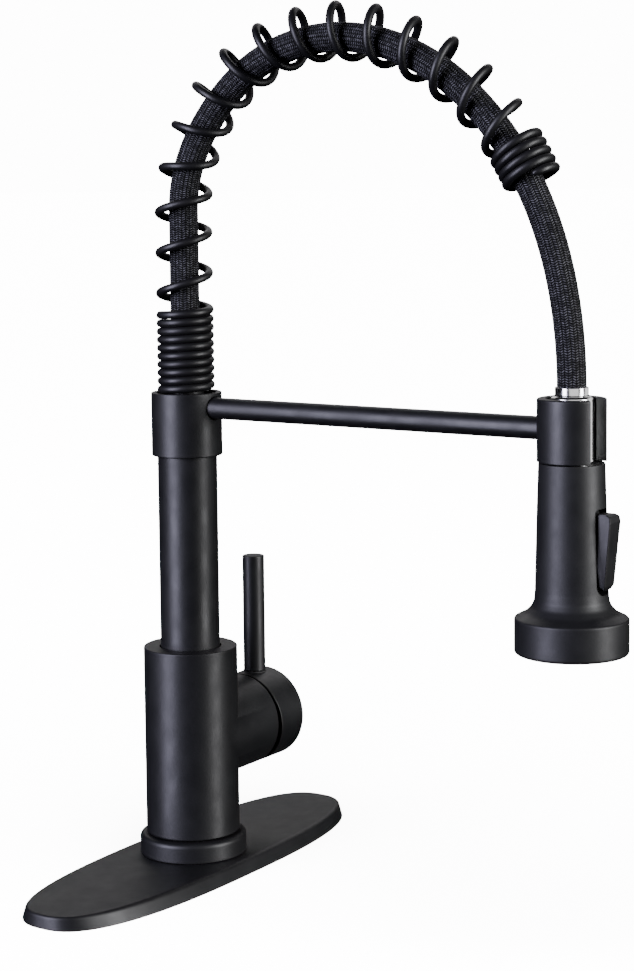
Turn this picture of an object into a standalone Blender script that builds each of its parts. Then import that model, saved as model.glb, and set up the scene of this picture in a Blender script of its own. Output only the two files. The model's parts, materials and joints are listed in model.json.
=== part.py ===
"""A single-lever kitchen faucet with a sprung pull-down spray, as an assembly of separate solids.

Metres, +Z up. The origin is on the riser's axis at the deck. The spout runs along -Y and the lever
is on +X. The long axis of the deck plate is X.
"""

import math

import bmesh
import bpy
from mathutils import Euler, Matrix, Vector

# Driving sizes
GAP = 0.0003
WALL = 0.0016
REACH = 0.2246
PLATE_HALF_LENGTH = 0.1242
PLATE_HALF_WIDTH = 0.038
PLATE_THICKNESS = 0.007
PLATE_ROUNDNESS = 2.65
RING_TOP = 0.0178
RING_RADIUS = 0.0282
BODY_RADIUS = 0.0247
BODY_BORE = 0.021
BODY_BOTTOM = 0.0186
BODY_TOP = 0.1176
VALVE_HEIGHT = 0.0681
HOUSING_END = 0.0458
CAP_START = 0.0464
CAP_END = 0.07
CAP_WEDGE = 0.0049
TILT_PIVOT = 0.036
LEVER_X = 0.0585
LEVER_RADIUS = 0.006
LEVER_TOP = 0.157
RISER_RADIUS = 0.0156
RISER_BORE = 0.0132
RISER_BOTTOM = 0.0973
RISER_TOP = 0.243
COLLAR_RADIUS = 0.0185
COLLAR_BOTTOM = 0.2191
COLLAR_TOP = 0.2522
ARM_RADIUS = 0.0056
ARM_HEIGHT = 0.2444
DOCK_RADIUS = 0.0164
DOCK_BORE = 0.012
DOCK_BOTTOM = 0.2299
DOCK_TOP = 0.2594
SLOT_HALF_WIDTH = 0.0085
HEAD_TOP = 0.229
FLANGE_RADIUS = 0.0271
FLANGE_TOP = 0.1555
HEAD_BOTTOM = 0.1386
ROCKER_PIVOT_OUT = 0.0132
ROCKER_PIVOT_HEIGHT = 0.188
SPOOL_HEIGHT = 0.1985

# The arch of the hose and its spring: straight up, an even bend, then a bend that opens out
BEND_START = 0.3469
BEND_RADIUS = 0.0859
EVEN_BEND = 0.0627
OPENING_BEND = 0.3203
HOSE_RADIUS = 0.0076
HOSE_TAPER = 0.0006
HOSE_WALL = 0.0025
HOSE_START = 0.2413
HOSE_END = 0.2456
HOSE_SAG = 0.0029
WIRE_RADIUS = 0.00205
COIL_RADIUS = 0.0129
END_COIL_RADIUS = 0.0122
COIL_SEAT = 0.252
ARCH_DRIFT = 0.0014
TIGHT_PITCH = 0.0043
SEAT_TURNS = 10
OPEN_TURNS = 15
END_TURNS = 4.5
END_COIL_START = 0.2624
POINTS_PER_TURN = 10

FINE = 28
MEDIUM = 24
COARSE = 16

object_collection = bpy.data.collections.new("faucet")
cutter_collection = bpy.data.collections.new("cutters")


# Materials

def material(name, colour, roughness, metallic=0.0):
    made = bpy.data.materials.get(name) or bpy.data.materials.new(name)
    made.use_nodes = True
    shader = made.node_tree.nodes["Principled BSDF"]
    shader.inputs["Base Color"].default_value = (*colour, 1.0)
    shader.inputs["Roughness"].default_value = roughness
    shader.inputs["Metallic"].default_value = metallic
    return made


def satin_black(node):
    return material(node + "_coating", (0.022, 0.022, 0.024), 0.42, 0.3)


def black_plastic(node):
    return material(node + "_plastic", (0.02, 0.02, 0.021), 0.5)


def brass(node):
    return material(node + "_brass", (0.62, 0.45, 0.2), 0.35, 1.0)


def steel(node):
    return material(node + "_steel", (0.6, 0.6, 0.6), 0.3, 1.0)


def rubber(node):
    return material(node + "_rubber", (0.03, 0.03, 0.03), 0.8)


def white_plastic(node):
    return material(node + "_plastic", (0.75, 0.75, 0.72), 0.5)


# Building tools

def add(mesh, name, surface, location=(0, 0, 0), turn=(0, 0, 0)):
    """Puts a mesh in the object's collection with its one material."""
    made = bpy.data.objects.new(name, mesh)
    made.location = location
    made.rotation_euler = turn
    mesh.materials.clear()
    mesh.materials.append(surface)
    object_collection.objects.link(made)
    return made


def as_cutter(solid):
    for holder in list(solid.users_collection):
        holder.objects.unlink(solid)
    cutter_collection.objects.link(solid)
    solid.hide_render = True
    solid.display_type = "WIRE"
    return solid


def boolean(solid, other, operation):
    step = solid.modifiers.new(operation.lower() + "_" + other.name, "BOOLEAN")
    step.operation = operation
    step.solver = "EXACT"
    step.object = as_cutter(other)
    return solid


def cut(solid, *cutters):
    for cutter in cutters:
        boolean(solid, cutter, "DIFFERENCE")
    return solid


def turned(name, surface, profile, location=(0, 0, 0), turn=(0, 0, 0), steps=FINE):
    """A Screw of a profile of (radius, height) points that runs down its outer side.

    A profile that starts on the axis is left open there, and any other is closed into a ring.
    """
    shape = bmesh.new()
    points = [shape.verts.new((radius, 0, height)) for radius, height in profile]
    for first, second in zip(points, points[1:]):
        shape.edges.new((first, second))
    if profile[0][0] > 0:
        shape.edges.new((points[-1], points[0]))
    mesh = bpy.data.meshes.new(name)
    shape.to_mesh(mesh)
    shape.free()
    made = add(mesh, name, surface, location, turn)
    screw = made.modifiers.new("screw", "SCREW")
    screw.steps = steps
    screw.render_steps = steps
    screw.use_merge_vertices = True
    screw.merge_threshold = 0.00001
    screw.use_smooth_shade = True
    return made


def ring(inner, outer, bottom, top, edge=0.0):
    """The closed profile of a ring with its outer edges taken off by edge."""
    if edge == 0.0:
        return [(outer, top), (outer, bottom), (inner, bottom), (inner, top)]
    return [
        (outer - edge, top),
        (outer, top - edge),
        (outer, bottom + edge),
        (outer - edge, bottom),
        (inner, bottom),
        (inner, top),
    ]


def torus(name, surface, centre, main_radius, wire_radius, steps=COARSE):
    """An O-ring, as a Screw of a small circle."""
    corners = 6
    angles = [-2 * math.pi * corner / corners for corner in range(corners)]
    profile = [
        (main_radius + wire_radius * math.cos(angle), wire_radius * math.sin(angle))
        for angle in angles
    ]
    return turned(name, surface, profile, centre, steps=steps)


def rod(name, surface, start, end, radius, steps=COARSE, origin=None, spin=0.0):
    """A cylinder between two points. Its origin is its middle, or the point given."""
    start = Vector(start)
    end = Vector(end)
    middle = (start + end) / 2
    origin = middle if origin is None else Vector(origin)
    shape = bmesh.new()
    bmesh.ops.create_cone(
        shape,
        cap_ends=True,
        segments=steps,
        radius1=radius,
        radius2=radius,
        depth=(end - start).length,
    )
    facing = (end - start).to_track_quat("Z", "Y").to_matrix() @ Matrix.Rotation(spin, 3, "Z")
    bmesh.ops.rotate(shape, verts=shape.verts, cent=(0, 0, 0), matrix=facing)
    bmesh.ops.translate(shape, verts=shape.verts, vec=middle - origin)
    for face in shape.faces:
        face.smooth = len(face.verts) == 4
    mesh = bpy.data.meshes.new(name)
    shape.to_mesh(mesh)
    shape.free()
    return add(mesh, name, surface, origin)


def hole(name, start, end, radius, steps=COARSE):
    """A cylinder to cut with, spun half a facet so that its edges miss those of the turned pieces."""
    return as_cutter(rod(name + "_hole", None, start, end, radius, steps, spin=math.pi / steps))


def block(name, low, high, surface=None):
    """A box between two corners."""
    low = Vector(low)
    high = Vector(high)
    shape = bmesh.new()
    bmesh.ops.create_cube(shape, size=1.0)
    bmesh.ops.scale(shape, verts=shape.verts, vec=high - low)
    mesh = bpy.data.meshes.new(name)
    shape.to_mesh(mesh)
    shape.free()
    return add(mesh, name, surface, (low + high) / 2)


def pivot(name, place):
    """An empty on a joint's axis, for the pieces that move about it."""
    made = bpy.data.objects.new(name, None)
    made.location = place
    made.empty_display_size = 0.02
    object_collection.objects.link(made)
    return made


def hang(empty, *solids):
    """Parents the solids to the empty and keeps them where they are."""
    for solid in solids:
        solid.parent = empty
        solid.location -= empty.location


def oval_loft(name, surface, sections, corners=44):
    """A solid lofted through level ovals, each given as (half_length, half_width, height)."""
    shape = bmesh.new()
    loops = []
    for half_length, half_width, height in sections:
        loop = []
        for corner in range(corners):
            angle = 2 * math.pi * corner / corners
            across = math.cos(angle)
            along = math.sin(angle)
            power = 2 / PLATE_ROUNDNESS
            x = half_length * math.copysign(abs(across) ** power, across)
            y = half_width * math.copysign(abs(along) ** power, along)
            loop.append(shape.verts.new((x, y, height)))
        loops.append(loop)
    for lower, upper in zip(loops, loops[1:]):
        for corner in range(corners):
            after = (corner + 1) % corners
            shape.faces.new((lower[corner], lower[after], upper[after], upper[corner]))
    shape.faces.new(reversed(loops[0]))
    shape.faces.new(loops[-1])
    mesh = bpy.data.meshes.new(name)
    shape.to_mesh(mesh)
    shape.free()
    return add(mesh, name, surface)


# The path that the hose and spring share

def smooth(share):
    """A share held between 0 and 1, with an even start and stop."""
    held = min(1.0, max(0.0, share))
    return held * held * (3 - 2 * held)


def arch_point(distance):
    """The point and the tangent's lean at a distance along the path from the riser's axis at z = 0.

    The arch is carried forward a little between its two ends by the weight of its far side.
    """
    steps = 160
    if distance <= BEND_START:
        return Vector((0, 0, distance)), 0.0
    start_bend = 1 / BEND_RADIUS
    end_bend = 2 * (math.pi - start_bend * EVEN_BEND) / OPENING_BEND - start_bend
    along = distance - BEND_START
    part = along / steps
    lean = 0.0
    y = 0.0
    z = BEND_START
    for step in range(steps):
        past_even = max(0.0, (step + 0.5) * part - EVEN_BEND)
        bend = start_bend + (end_bend - start_bend) * past_even / OPENING_BEND
        middle_lean = lean + bend * part / 2
        y -= math.sin(middle_lean) * part
        z += math.cos(middle_lean) * part
        lean += bend * part
    carried = smooth(along / EVEN_BEND) * smooth((EVEN_BEND + OPENING_BEND - along) / (2 * EVEN_BEND))
    return Vector((0, y - ARCH_DRIFT * carried, z)), lean


def outward(lean):
    """The unit vector from the path towards the outside of the arch."""
    return Vector((0, math.cos(lean), math.sin(lean)))


def poly_curve(name, points, radius, resolution, caps, shares=None):
    """A bevelled curve through the points. shares, if given, scale its radius at each of them."""
    curve = bpy.data.curves.new(name, "CURVE")
    curve.dimensions = "3D"
    curve.bevel_depth = radius
    curve.bevel_resolution = resolution
    curve.use_fill_caps = caps
    spline = curve.splines.new("POLY")
    spline.points.add(len(points) - 1)
    for place, point in zip(spline.points, points):
        place.co = (*point, 1.0)
    for place, share in zip(spline.points, shares or []):
        place.radius = share
    return curve


# Deck plate and the base under the body

def make_base():
    rounding = 0.0014
    draft = 0.0052
    end_draft = 0.0004
    sections = [
        (PLATE_HALF_LENGTH, PLATE_HALF_WIDTH, 0.0),
        (
            PLATE_HALF_LENGTH - end_draft,
            PLATE_HALF_WIDTH - draft * 0.8,
            PLATE_THICKNESS - rounding,
        ),
    ]
    for step in range(1, 4):
        angle = step * math.pi / 6
        inset = rounding * (1 - math.cos(angle))
        sections.append((
            PLATE_HALF_LENGTH - end_draft - inset,
            PLATE_HALF_WIDTH - draft * 0.8 - inset,
            PLATE_THICKNESS - rounding * (1 - math.sin(angle)),
        ))
    plate = oval_loft("deck_plate", satin_black("deck_plate"), sections)
    ceiling = PLATE_THICKNESS - WALL
    below = 0.001
    spread = draft * below / ceiling
    hollow = [
        (PLATE_HALF_LENGTH - WALL, PLATE_HALF_WIDTH - WALL + spread, -below),
        (PLATE_HALF_LENGTH - WALL - end_draft, PLATE_HALF_WIDTH - draft - WALL, ceiling),
    ]
    cut(plate, oval_loft("plate_hollow", None, hollow))
    cut(plate, hole("plate_centre", (0, 0, -0.01), (0, 0, 0.02), 0.017, FINE))

    inset = WALL + 2 * GAP
    filling = [
        (PLATE_HALF_LENGTH - inset, PLATE_HALF_WIDTH - inset, 0.0),
        (PLATE_HALF_LENGTH - inset - end_draft, PLATE_HALF_WIDTH - inset - draft, ceiling - GAP),
    ]
    backing = oval_loft("deck_backing", black_plastic("deck_backing"), filling)
    cut(backing, hole("backing_centre", (0, 0, -0.01), (0, 0, 0.02), 0.017, FINE))

    foot_bottom = PLATE_THICKNESS + GAP
    foot = turned("mounting_base", satin_black("mounting_base"), [
        (0, 0.03),
        (BODY_BORE - GAP, 0.03),
        (BODY_BORE - GAP, foot_bottom),
        (0.0165, foot_bottom),
        (0.0165, 0),
        (0, 0),
    ])
    for side in (-1, 1):
        name = "foot_port_plus" if side > 0 else "foot_port_minus"
        y = side * 0.009
        cut(foot, hole(name, (0, y, -0.001), (0, y, 0.031), 0.0042, 16))

    turned("base_ring", satin_black("base_ring"), [
        (RING_RADIUS - 0.0025, RING_TOP),
        (RING_RADIUS - 0.0011, RING_TOP - 0.0004),
        (RING_RADIUS - 0.0004, RING_TOP - 0.0011),
        (RING_RADIUS, RING_TOP - 0.0025),
        (RING_RADIUS, foot_bottom),
        (0.0252, foot_bottom),
        (0.0252, 0.0093),
        (0.0228, 0.0093),
        (0.0228, foot_bottom),
        (BODY_BORE, foot_bottom),
        (BODY_BORE, RING_TOP),
    ])
    torus("base_seal", rubber("base_seal"), (0, 0, 0.0082), 0.024, 0.0008, FINE)

    for side, name in ((-1, "inlet_tube_cold"), (1, "inlet_tube_hot")):
        turned(
            name,
            steel(name),
            ring(0.0028, 0.0039, 0.006, 0.053),
            location=(0, side * 0.009, 0),
            steps=16,
        )


# The body, with the valve inside its side arm

def make_body():
    edge = 0.0005
    shell = turned("body_shell", satin_black("body_shell"), [
        (0, BODY_TOP),
        (BODY_RADIUS - edge, BODY_TOP),
        (BODY_RADIUS, BODY_TOP - edge),
        (BODY_RADIUS, BODY_BOTTOM + edge),
        (BODY_RADIUS - edge, BODY_BOTTOM),
        (0, BODY_BOTTOM),
    ])
    middle = (0, 0, VALVE_HEIGHT)
    arm = rod("housing", None, middle, (HOUSING_END, 0, VALVE_HEIGHT), BODY_RADIUS - 0.00002, FINE)
    boolean(shell, arm, "UNION")
    bore_top = BODY_TOP - 0.005
    cut(
        shell,
        hole("body_bore", (0, 0, 0), (0, 0, bore_top), BODY_BORE, FINE),
        hole("body_mouth", (0, 0, bore_top - 0.01), (0, 0, BODY_TOP + 0.01), RISER_RADIUS + 0.0005, FINE),
        hole("housing_bore", middle, (HOUSING_END + 0.01, 0, VALVE_HEIGHT), 0.0196, FINE),
        hole("clip_groove", (0, 0, 0.095), (0, 0, 0.097), 0.022, FINE),
    )

    bush = ring(RISER_RADIUS + GAP, BODY_BORE - GAP, RISER_BOTTOM, bore_top - GAP)
    turned("swivel_bush", white_plastic("swivel_bush"), bush)
    clip = turned("bush_clip", steel("bush_clip"), ring(0.019, 0.0217, 0.0953, 0.0967))
    cut(clip, block("clip_gap", (-0.003, 0.015, 0.09), (0.003, 0.025, 0.1)))

    seat = rod("valve_block", brass("valve_block"), (0, 0, 0.047), (0, 0, 0.092), BODY_BORE - GAP, FINE)
    pocket_floor = 0.0125
    cut(
        seat,
        hole("pocket", (pocket_floor, 0, VALVE_HEIGHT), (0.03, 0, VALVE_HEIGHT), 0.0178, FINE),
        hole("riser_socket", (0, 0, 0.0775), (0, 0, 0.095), 0.0103, MEDIUM),
        hole("mixed_way", (0.005, 0, 0.0812), (0.014, 0, 0.0812), 0.003, 12),
    )
    for side in (-1, 1):
        word = "hot" if side > 0 else "cold"
        y = side * 0.009
        cut(
            seat,
            hole(word + "_rise", (0, y, 0.046), (0, y, 0.059), 0.0042, 16),
            hole(word + "_way", (0, y, 0.0575), (0.014, y, 0.0575), 0.0025, 12),
        )


# The ceramic cartridge, its nut and its stem

def along_valve(name, surface, profile, steps=MEDIUM):
    """A turned piece on the valve's axis. Its heights are distances along +X."""
    quarter = math.pi / 2
    return turned(name, surface, profile, (0, 0, VALVE_HEIGHT), (0, quarter, 0), steps)


def port_holes(solid, name, start, end):
    """The three ways through the cartridge: hot, cold and mixed."""
    for word, y, z in (("hot", 0.009, 0.0575), ("cold", -0.009, 0.0575), ("mixed", 0, 0.0812)):
        cut(solid, hole(name + "_" + word, (start, y, z), (end, y, z), 0.0022, 12))
    return solid


def make_cartridge():
    seal = along_valve("cartridge_seal", rubber("cartridge_seal"), [
        (0, 0.0146), (0.0168, 0.0146), (0.0168, 0.0128), (0, 0.0128),
    ], COARSE)
    port_holes(seal, "seal", 0.012, 0.016)
    case = along_valve("cartridge_body", white_plastic("cartridge_body"), [
        (0, 0.0430),
        (0.0149, 0.0430),
        (0.0149, 0.0355),
        (0.0175, 0.0355),
        (0.0175, 0.0149),
        (0, 0.0149),
    ])
    cut(case, hole("case_bore", (0.0178, 0, VALVE_HEIGHT), (0.05, 0, VALVE_HEIGHT), 0.0144, FINE))
    port_holes(case, "case", 0.013, 0.02)
    fixed = along_valve("fixed_disc", white_plastic("fixed_disc"), [
        (0, 0.0212), (0.0141, 0.0212), (0.0141, 0.0181), (0, 0.0181),
    ])
    port_holes(fixed, "fixed", 0.017, 0.023)
    moving = along_valve("moving_disc", white_plastic("moving_disc"), [
        (0, 0.0272), (0.012, 0.0272), (0.012, 0.0215), (0, 0.0215),
    ])
    low = (0.0241, -0.0031, VALVE_HEIGHT - 0.0031)
    cut(moving, block("disc_pocket", low, (0.03, 0.0031, VALVE_HEIGHT + 0.0031)))

    carrier = along_valve("stem_carrier", black_plastic("stem_carrier"), [
        (0, 0.0424), (0.0141, 0.0424), (0.0141, 0.0296), (0, 0.0296),
    ])
    low = (0.028, -0.0041, VALVE_HEIGHT - 0.0072)
    pivot = Vector((TILT_PIVOT, 0, VALVE_HEIGHT))
    across = Vector((0, 0.0112, 0))
    cut(
        carrier,
        block("carrier_slot", low, (0.044, 0.0041, VALVE_HEIGHT + 0.0072)),
        hole("carrier_pin", pivot - across * 1.1, pivot + across * 1.1, 0.0015, 12),
    )
    rod("stem_pin", steel("stem_pin"), pivot - across, pivot + across, 0.0012, 12)

    stem = block(
        "stem",
        (0.0304, -0.0037, VALVE_HEIGHT - 0.0037),
        (0.0612, 0.0037, VALVE_HEIGHT + 0.0037),
        steel("stem"),
    )
    tip = block(
        "stem_tip",
        (0.0248, -0.0025, VALVE_HEIGHT - 0.0023),
        (0.0312, 0.0025, VALVE_HEIGHT + 0.0023),
    )
    boolean(stem, tip, "UNION")
    cut(stem, hole("stem_pin_way", pivot - across, pivot + across, 0.0015, 12))

    nut = along_valve("cartridge_nut", brass("cartridge_nut"), ring(0.0152, 0.0193, 0.0358, 0.0443))
    notch = 0.0025
    for turn in range(4):
        angle = math.pi / 4 + turn * math.pi / 2
        y = 0.0178 * math.cos(angle)
        z = VALVE_HEIGHT + 0.0178 * math.sin(angle)
        cut(nut, hole("nut_notch_%d" % turn, (0.0425, y, z), (0.047, y, z), notch, 12))


# The handle: a cap that grips the stem, with a rod for a lever

def make_handle():
    edge = 0.0009
    cap = along_valve("handle_cap", satin_black("handle_cap"), [
        (0, CAP_END),
        (BODY_RADIUS - edge, CAP_END),
        (BODY_RADIUS, CAP_END - edge),
        (BODY_RADIUS, CAP_START),
        (0, CAP_START),
    ], FINE)
    room = along_valve("cap_room", None, [
        (0.0085, 0.0622), (0.0205, 0.054), (0.0205, 0.04), (0.0085, 0.04),
    ])
    cut(
        cap,
        room,
        hole("cap_mouth", (0.04, 0, VALVE_HEIGHT), (0.0525, 0, VALVE_HEIGHT), 0.0205, FINE),
        block(
            "stem_socket",
            (0.05, -0.004, VALVE_HEIGHT - 0.004),
            (0.0615, 0.004, VALVE_HEIGHT + 0.004),
        ),
    )
    wedge = block("cap_wedge", (-0.01, -0.04, -0.04), (0.01, 0.04, 0.04))
    lean = math.atan2(CAP_WEDGE, 2 * BODY_RADIUS)
    wedge.location = (
        CAP_START + CAP_WEDGE / 2 - 0.01 * math.cos(lean),
        0,
        VALVE_HEIGHT - 0.01 * math.sin(lean),
    )
    wedge.rotation_euler = (0, -lean, 0)
    cut(cap, wedge)
    lever_seat = 0.0917
    stud_bottom = VALVE_HEIGHT + 0.0165
    cut(
        cap,
        hole("lever_seat", (LEVER_X, 0, lever_seat), (LEVER_X, 0, 0.11), 0.007),
        hole("lever_thread", (LEVER_X, 0, stud_bottom), (LEVER_X, 0, 0.11), 0.0031, 16),
        hole("screw_way", (LEVER_X, 0, 0.04), (LEVER_X, 0, VALVE_HEIGHT - 0.001), 0.0021, 12),
        hole("plug_way", (LEVER_X, 0, 0.04), (LEVER_X, 0, 0.0475), 0.0031, 16),
    )
    rod_bottom = lever_seat + 0.0014
    chamfer = 0.0006
    lever = turned("lever_rod", satin_black("lever_rod"), [
        (0, LEVER_TOP),
        (LEVER_RADIUS - chamfer, LEVER_TOP),
        (LEVER_RADIUS, LEVER_TOP - chamfer),
        (LEVER_RADIUS, rod_bottom),
        (0.0028, rod_bottom),
        (0.0028, stud_bottom + GAP),
        (0, stud_bottom + GAP),
    ], (LEVER_X, 0, 0), steps=24)
    flat_ring = ring(0.0031, 0.0064, lever_seat + GAP, rod_bottom - GAP)
    washer = turned("lever_washer", rubber("lever_washer"), flat_ring, (LEVER_X, 0, 0), steps=24)
    screw_ends = (LEVER_X, 0, 0.0505), (LEVER_X, 0, 0.0638)
    screw = rod("cap_screw", steel("cap_screw"), *screw_ends, 0.0018, 12)
    plug_ends = (LEVER_X, 0, 0.0444), (LEVER_X, 0, 0.0472)
    plug = rod("screw_plug", black_plastic("screw_plug"), *plug_ends, 0.0028, 16)
    tilt = pivot("handle_pivot", (TILT_PIVOT, 0, VALVE_HEIGHT))
    hang(tilt, cap, lever, washer, screw, plug, bpy.data.objects["stem"])


# The riser, its collar, the arm and the dock

def make_spout():
    edge = 0.0006
    turned("riser_tube", satin_black("riser_tube"), ring(RISER_BORE, RISER_RADIUS, RISER_BOTTOM, RISER_TOP))
    groove = 0.0084
    spigot = 0.0098
    turned("riser_foot", brass("riser_foot"), [
        (0.0129, 0.109),
        (0.0129, 0.097),
        (0.018, 0.097),
        (0.018, 0.0925),
        (spigot, 0.0925),
        (spigot, 0.0881),
        (groove, 0.0881),
        (groove, 0.0859),
        (spigot, 0.0859),
        (spigot, 0.0826),
        (groove, 0.0826),
        (groove, 0.0804),
        (spigot, 0.0804),
        (spigot, 0.078),
        (0.006, 0.078),
        (0.006, 0.109),
    ], steps=COARSE)
    torus("riser_seal_upper", rubber("riser_seal_upper"), (0, 0, 0.087), 0.0094, 0.0007)
    torus("riser_seal_lower", rubber("riser_seal_lower"), (0, 0, 0.0815), 0.0094, 0.0007)

    collar = turned("collar", satin_black("collar"), [
        (0, COLLAR_TOP),
        (COLLAR_RADIUS - edge, COLLAR_TOP),
        (COLLAR_RADIUS, COLLAR_TOP - edge),
        (COLLAR_RADIUS, COLLAR_BOTTOM + edge),
        (COLLAR_RADIUS - edge, COLLAR_BOTTOM),
        (0, COLLAR_BOTTOM),
    ])
    ceiling = COLLAR_TOP - 0.0037
    screw_height = 0.228
    recess_floor = COIL_SEAT - WIRE_RADIUS - GAP
    recess_radius = COIL_RADIUS + WIRE_RADIUS + 2 * GAP
    cut(
        collar,
        hole("collar_bore", (0, 0, 0.21), (0, 0, ceiling), RISER_RADIUS + GAP, FINE),
        hole("collar_mouth", (0, 0, 0.24), (0, 0, 0.26), 0.01),
        hole("spring_recess", (0, 0, recess_floor), (0, 0, 0.26), recess_radius, FINE),
        hole("collar_arm", (0, -0.012, ARM_HEIGHT), (0, -0.03, ARM_HEIGHT), ARM_RADIUS + GAP),
        hole("collar_thread", (0, 0.012, screw_height), (0, 0.03, screw_height), 0.0021, 12),
    )
    inner_end = RISER_RADIUS + 2 * GAP
    rod(
        "collar_screw",
        steel("collar_screw"),
        (0, inner_end, screw_height),
        (0, COLLAR_RADIUS - GAP, screw_height),
        0.0018,
        12,
    )
    turned("spring_spigot", satin_black("spring_spigot"), [
        (0.0094, 0.264),
        (0.0094, ceiling - GAP),
        (0.0149, ceiling - GAP),
        (0.0149, RISER_TOP + GAP),
        (0.0129, RISER_TOP + GAP),
        (0.0129, 0.233),
        (0.003, 0.233),
        (0.003, 0.256),
        (0.0042, 0.256),
        (0.0042, 0.241),
        (0.0078, 0.241),
        (0.0078, 0.264),
    ], steps=24)

    arm_start = -(RISER_RADIUS + 0.0007)
    arm_end = -(REACH - DOCK_BORE - 0.0004)
    rod(
        "support_arm",
        satin_black("support_arm"),
        (0, arm_start, ARM_HEIGHT),
        (0, arm_end, ARM_HEIGHT),
        ARM_RADIUS,
        24,
        origin=(0, 0, ARM_HEIGHT),
    )
    dock_profile = ring(DOCK_BORE, DOCK_RADIUS, DOCK_BOTTOM, DOCK_TOP, 0.0008)
    dock = turned("dock", satin_black("dock"), dock_profile, (0, -REACH, 0))
    cut(
        dock,
        block(
            "dock_slot",
            (-SLOT_HALF_WIDTH, -REACH - 0.03, DOCK_BOTTOM - 0.01),
            (SLOT_HALF_WIDTH, -REACH, DOCK_TOP + 0.01),
        ),
        hole(
            "dock_arm",
            (0, -REACH + 0.005, ARM_HEIGHT),
            (0, -REACH + 0.025, ARM_HEIGHT),
            ARM_RADIUS + GAP,
        ),
    )


# The spring and the braided hose

def make_hose_and_spring():
    total = BEND_START + EVEN_BEND + OPENING_BEND
    bend_points = 30
    route = [Vector((0, 0, HOSE_START)), Vector((0, 0, 0.285))]
    for step in range(bend_points + 1):
        share = step / bend_points
        point, lean = arch_point(BEND_START + share * (total - BEND_START))
        sag = HOSE_SAG * smooth(share / 0.2) * smooth((1 - share) / 0.4)
        route.append(point - outward(lean) * sag)
    route.append(Vector((0, -REACH, HOSE_END)))
    shares = [1 - HOSE_TAPER / HOSE_RADIUS * point / (len(route) - 1) for point in range(len(route))]
    hose = poly_curve("hose", route, HOSE_RADIUS, 3, False, shares)
    hose.materials.append(black_plastic("hose"))
    made = bpy.data.objects.new("hose", hose)
    object_collection.objects.link(made)
    wall = made.modifiers.new("wall", "SOLIDIFY")
    wall.thickness = HOSE_WALL
    wall.offset = -1

    seat = COIL_SEAT
    open_start = seat + SEAT_TURNS * TIGHT_PITCH
    open_end = BEND_START + END_COIL_START
    open_pitch = (open_end - open_start) / OPEN_TURNS
    turns = SEAT_TURNS + OPEN_TURNS + END_TURNS
    coils = []
    for step in range(int(turns * POINTS_PER_TURN) + 1):
        turn = step / POINTS_PER_TURN
        tight_below = min(turn, SEAT_TURNS)
        open_part = min(max(turn - SEAT_TURNS, 0), OPEN_TURNS)
        tight_above = max(turn - SEAT_TURNS - OPEN_TURNS, 0)
        along = seat + (tight_below + tight_above) * TIGHT_PITCH + open_part * open_pitch
        centre, lean = arch_point(along)
        angle = 2 * math.pi * turn
        side = Vector((-1, 0, 0))
        offset = outward(lean) * math.cos(angle) + side * math.sin(angle)
        narrowed = smooth((turn - SEAT_TURNS - OPEN_TURNS + 2) / 3)
        coils.append(centre + offset * (COIL_RADIUS + (END_COIL_RADIUS - COIL_RADIUS) * narrowed))
    spring = poly_curve("spring", coils, WIRE_RADIUS, 2, True)
    spring.materials.append(satin_black("spring"))
    object_collection.objects.link(bpy.data.objects.new("spring", spring))

    lower = ring(0.0079, 0.0091, 0.2643, 0.278)
    turned("hose_sleeve_lower", steel("hose_sleeve_lower"), lower, steps=COARSE)
    upper = ring(0.0074, 0.0079, 0.2611, 0.2645)
    turned("hose_sleeve_upper", steel("hose_sleeve_upper"), upper, (0, -REACH, 0), steps=24)


# The spray head

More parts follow.
